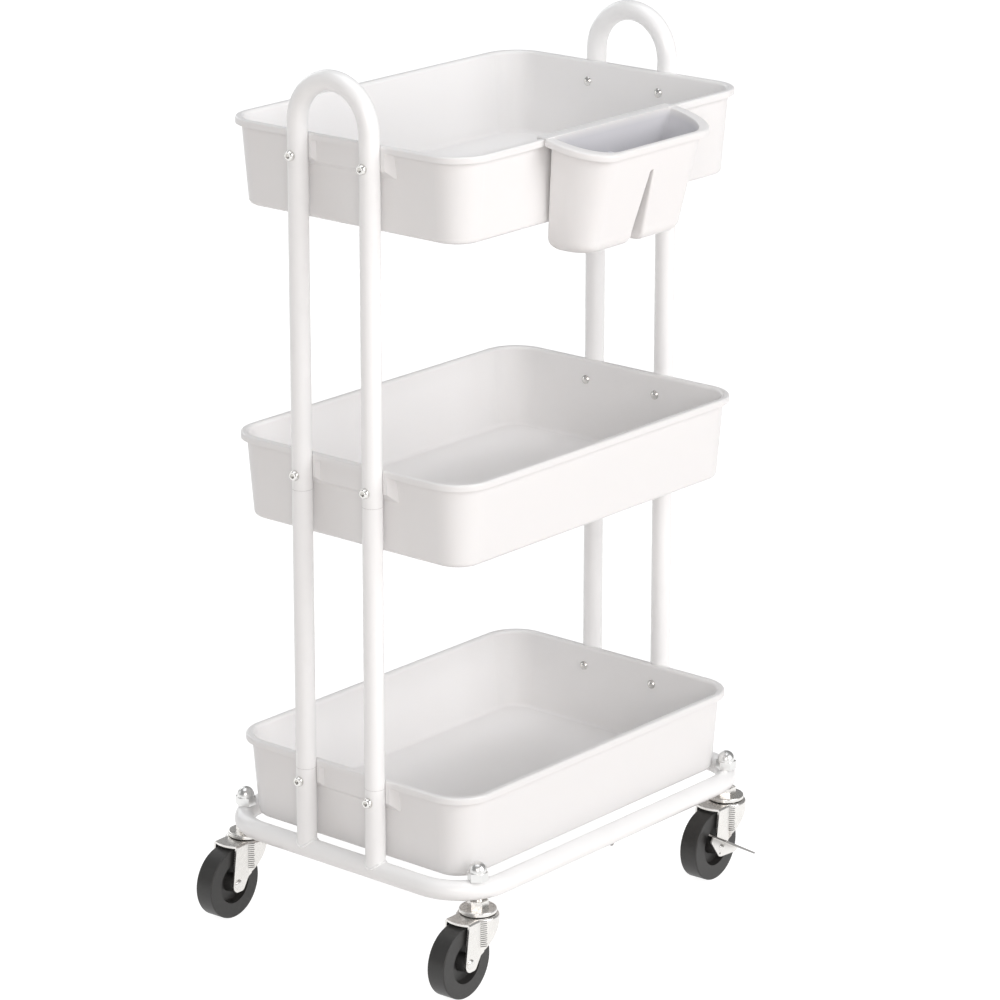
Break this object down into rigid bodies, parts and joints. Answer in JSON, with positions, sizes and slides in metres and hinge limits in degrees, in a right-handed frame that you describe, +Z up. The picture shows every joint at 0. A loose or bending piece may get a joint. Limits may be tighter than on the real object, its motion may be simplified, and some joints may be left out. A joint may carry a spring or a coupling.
{
  "type": "utility cart",
  "caption": "Three-tier white utility cart with deep trays, tube frame with arched handles, a divided hanging cup and swivel casters, two of them braked.",
  "frame": {"origin": "on the floor, under the middle of the whole object's footprint with the casters trailing to the left and the cup on the front", "axes": "+Z up, +X along the cart's long side towards the braked casters, -Y towards the side that the cup hangs on"},
  "size_m": [0.4715, 0.3672, 0.8331],
  "materials": {
    "frame": "satin",
    "tray": "satin",
    "cup": "satin",
    "zinc": "zinc plated",
    "screws": "polished",
    "sleeves": "polished",
    "chrome": "polished",
    "tyre": "satin",
    "rivet": "matt"
  },
  "bodies": {
    "cart": {"base_frame": "frame", "post_left_front": "frame", "post_left_back": "frame", "post_right_front": "frame", "post_right_back": "frame", "handle_left": "frame", "handle_right": "frame", "tray_top": "tray", "tray_middle": "tray", "tray_bottom": "tray", "tray_screws_top": "screws", "sleeve_nuts_top": "sleeves", "tray_screws_middle": "screws", "sleeve_nuts_middle": "sleeves", "tray_screws_bottom": "screws", "sleeve_nuts_bottom": "sleeves", "cap_nuts": "chrome", "rail_rivet": "rivet", "stud_lf": "zinc", "race_lf": "zinc", "balls_lf": "zinc", "stud_lb": "zinc", "race_lb": "zinc", "balls_lb": "zinc", "stud_rf": "zinc", "race_rf": "zinc", "balls_rf": "zinc", "stud_rb": "zinc", "race_rb": "zinc", "balls_rb": "zinc"},
    "swivel_lf": {"fork_lf": "zinc", "axle_lf": "zinc", "axle_nut_lf": "zinc", "bush_lf": "zinc"},
    "roller_lf": {"wheel_lf": "tyre"},
    "swivel_lb": {"fork_lb": "zinc", "axle_lb": "zinc", "axle_nut_lb": "zinc", "bush_lb": "zinc"},
    "roller_lb": {"wheel_lb": "tyre"},
    "swivel_rf": {"fork_rf": "zinc", "axle_rf": "zinc", "axle_nut_rf": "zinc", "bush_rf": "zinc"},
    "roller_rf": {"wheel_rf": "tyre"},
    "pedal_rf": {"brake_rf": "zinc"},
    "swivel_rb": {"fork_rb": "zinc", "axle_rb": "zinc", "axle_nut_rb": "zinc", "bush_rb": "zinc"},
    "roller_rb": {"wheel_rb": "tyre"},
    "pedal_rb": {"brake_rb": "zinc"},
    "hanging_cup": {"cup": "cup"}
  },
  "joints": [
    {"name": "swivel_lf", "type": "hinge", "parent": "cart", "child": "swivel_lf", "pos_m": [-0.1728, -0.1251, 0.073], "axis": [0, 0, 1], "continuous": true},
    {"name": "spin_lf", "type": "hinge", "parent": "swivel_lf", "child": "roller_lf", "pos_m": [-0.20147, -0.12645, 0.0341], "axis": [0.0471, -0.9989, 0], "continuous": true},
    {"name": "swivel_lb", "type": "hinge", "parent": "cart", "child": "swivel_lb", "pos_m": [-0.1728, 0.1635, 0.073], "axis": [0, 0, 1], "continuous": true},
    {"name": "spin_lb", "type": "hinge", "parent": "swivel_lb", "child": "roller_lb", "pos_m": [-0.20147, 0.16215, 0.0341], "axis": [0.0471, -0.9989, 0], "continuous": true},
    {"name": "swivel_rf", "type": "hinge", "parent": "cart", "child": "swivel_rf", "pos_m": [0.1972, -0.1251, 0.073], "axis": [0, 0, 1], "continuous": true},
    {"name": "spin_rf", "type": "hinge", "parent": "swivel_rf", "child": "roller_rf", "pos_m": [0.16853, -0.12645, 0.0341], "axis": [0.0471, -0.9989, 0], "continuous": true},
    {"name": "brake_rf", "type": "hinge", "parent": "swivel_rf", "child": "pedal_rf", "pos_m": [0.16853, -0.12645, 0.0341], "axis": [0.0471, -0.9989, 0], "range_deg": [0, 20]},
    {"name": "swivel_rb", "type": "hinge", "parent": "cart", "child": "swivel_rb", "pos_m": [0.1972, 0.1635, 0.073], "axis": [0, 0, 1], "continuous": true},
    {"name": "spin_rb", "type": "hinge", "parent": "swivel_rb", "child": "roller_rb", "pos_m": [0.16853, 0.16215, 0.0341], "axis": [0.0471, -0.9989, 0], "continuous": true},
    {"name": "brake_rb", "type": "hinge", "parent": "swivel_rb", "child": "pedal_rb", "pos_m": [0.16853, 0.16215, 0.0341], "axis": [0.0471, -0.9989, 0], "range_deg": [0, 20]},
    {"name": "cup_lift", "type": "slide", "parent": "cart", "child": "hanging_cup", "axis": [0, -0.1384, 0.9904], "range_m": [0, 0.11]}
  ]
}
